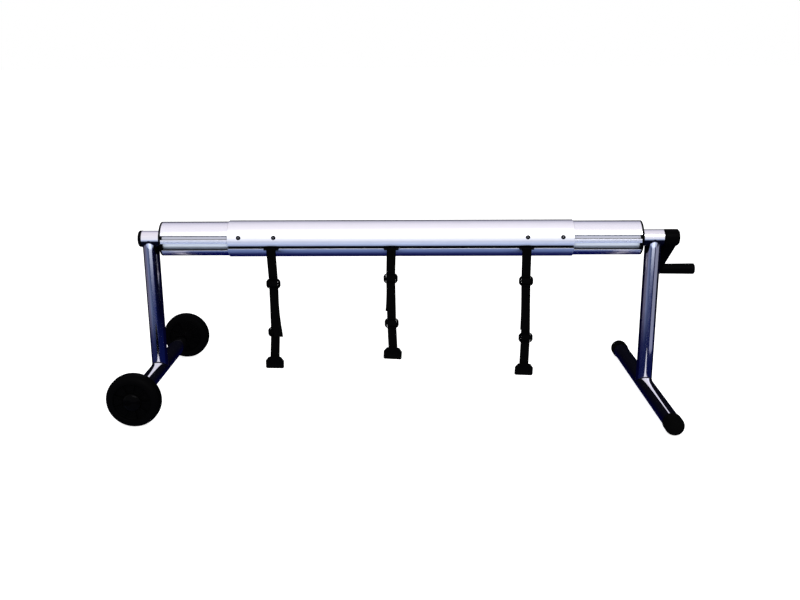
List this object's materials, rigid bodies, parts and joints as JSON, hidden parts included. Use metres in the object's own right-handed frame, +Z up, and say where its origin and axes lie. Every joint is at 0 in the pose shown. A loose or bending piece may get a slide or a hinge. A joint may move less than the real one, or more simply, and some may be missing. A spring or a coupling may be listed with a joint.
{
  "type": "pool cover reel",
  "caption": "Telescopic cover reel on a wheeled stand and a footed stand, with a crank at one end and buckled clip straps that slide along a channel in its tube.",
  "frame": {"origin": "on the floor, under the middle of the whole reel's box", "axes": "+X along the reel towards the crank, +Y away from the strap channel's side, +Z up"},
  "size_m": [1.6094, 0.6906, 0.496],
  "materials": {
    "centre_tube": "satin, drawn along the tube",
    "inner_tube": "satin, drawn along the tube",
    "left_post": "polished stainless steel",
    "left_sleeve": "polished stainless steel",
    "left_foot_bar": "polished stainless steel",
    "right_post": "polished stainless steel",
    "right_sleeve": "polished stainless steel",
    "right_foot_bar": "polished stainless steel",
    "hardware": "plain stainless hardware",
    "nylon": "moulded black",
    "wheel": "moulded black, lightly grained",
    "hub_cap": "smooth black",
    "crank": "moulded black",
    "foot_cap": "black, slightly dusty",
    "buckle": "moulded black",
    "webbing": "woven black polypropylene"
  },
  "bodies": {
    "left_stand": {"left_post": "left_post", "left_sleeve": "left_sleeve", "left_foot_bar": "left_foot_bar", "left_sleeve_cap": "nylon", "left_inner_bush": "nylon", "left_outer_bush": "nylon", "front_bar_plug": "nylon", "rear_bar_plug": "nylon", "front_axle_bolt": "hardware", "rear_axle_bolt": "hardware"},
    "front_wheel": {"front_wheel": "wheel", "front_hub_cap": "hub_cap"},
    "rear_wheel": {"rear_wheel": "wheel", "rear_hub_cap": "hub_cap"},
    "left_reel": {"left_inner_tube": "inner_tube", "left_end_plug": "nylon", "left_shaft": "hardware", "left_shaft_collar": "hardware"},
    "centre_reel": {"centre_tube": "centre_tube", "left_outer_screw": "hardware", "left_inner_screw": "hardware", "right_inner_screw": "hardware", "right_outer_screw": "hardware"},
    "right_reel": {"right_inner_tube": "inner_tube", "right_end_plug": "nylon", "right_shaft": "hardware", "crank_arm": "crank", "crank_screw": "hardware", "grip_bolt": "hardware"},
    "grip": {"crank_grip": "crank"},
    "right_stand": {"right_post": "right_post", "right_sleeve": "right_sleeve", "right_foot_bar": "right_foot_bar", "right_inner_bush": "nylon", "right_outer_bush": "nylon", "front_foot_cap": "foot_cap", "rear_foot_cap": "foot_cap"},
    "left_anchor": {"left_anchor": "buckle"},
    "left_strap": {"left_webbing": "webbing", "left_upper_buckle": "buckle", "left_lower_buckle": "buckle", "left_clip_front": "buckle", "left_clip_back": "buckle"},
    "middle_anchor": {"middle_anchor": "buckle"},
    "middle_strap": {"middle_webbing": "webbing", "middle_upper_buckle": "buckle", "middle_lower_buckle": "buckle", "middle_clip_front": "buckle", "middle_clip_back": "buckle"},
    "right_anchor": {"right_anchor": "buckle"},
    "right_strap": {"right_webbing": "webbing", "right_upper_buckle": "buckle", "right_lower_buckle": "buckle", "right_clip_front": "buckle", "right_clip_back": "buckle"}
  },
  "joints": [
    {"name": "front_wheel_spin", "type": "hinge", "parent": "left_stand", "child": "front_wheel", "pos_m": [-0.73368, -0.25825, 0.071], "axis": [0, 1, 0], "continuous": true},
    {"name": "rear_wheel_spin", "type": "hinge", "parent": "left_stand", "child": "rear_wheel", "pos_m": [-0.73368, 0.31475, 0.071], "axis": [0, 1, 0], "continuous": true},
    {"name": "reel_spin", "type": "hinge", "parent": "left_stand", "child": "left_reel", "pos_m": [-0.73368, -0.00225, 0.446], "axis": [1, 0, 0], "continuous": true},
    {"name": "left_telescope", "type": "slide", "parent": "left_reel", "child": "centre_reel", "axis": [1, 0, 0], "range_m": [-0.178, 0.12]},
    {"name": "right_telescope", "type": "slide", "parent": "centre_reel", "child": "right_reel", "axis": [1, 0, 0], "range_m": [-0.178, 0.12]},
    {"name": "grip_spin", "type": "hinge", "parent": "right_reel", "child": "grip", "pos_m": [0.72037, 0.1123, 0.33145], "axis": [1, 0, 0], "continuous": true},
    {"name": "right_bearing", "type": "hinge", "parent": "right_reel", "child": "right_stand", "pos_m": [0.65108, -0.00225, 0.446], "axis": [1, 0, 0], "continuous": true},
    {"name": "left_anchor_slide", "type": "slide", "parent": "centre_reel", "child": "left_anchor", "axis": [1, 0, 0], "range_m": [-0.08, 0.08]},
    {"name": "left_strap_swing", "type": "hinge", "parent": "left_anchor", "child": "left_strap", "pos_m": [-0.39333, -0.05688, 0.42503], "axis": [-1, 0, 0], "range_deg": [-30, 150]},
    {"name": "middle_anchor_slide", "type": "slide", "parent": "centre_reel", "child": "middle_anchor", "axis": [1, 0, 0], "range_m": [-0.08, 0.08]},
    {"name": "middle_strap_swing", "type": "hinge", "parent": "middle_anchor", "child": "middle_strap", "pos_m": [-0.06713, -0.05688, 0.42503], "axis": [-1, 0, 0], "range_deg": [-30, 150]},
    {"name": "right_anchor_slide", "type": "slide", "parent": "centre_reel", "child": "right_anchor", "axis": [1, 0, 0], "range_m": [-0.08, 0.08]},
    {"name": "right_strap_swing", "type": "hinge", "parent": "right_anchor", "child": "right_strap", "pos_m": [0.29888, -0.05688, 0.42503], "axis": [-1, 0, 0], "range_deg": [-30, 150]}
  ],
  "couplings": [
    {"joint": "right_bearing", "follows": "reel_spin", "ratio": -1}
  ]
}
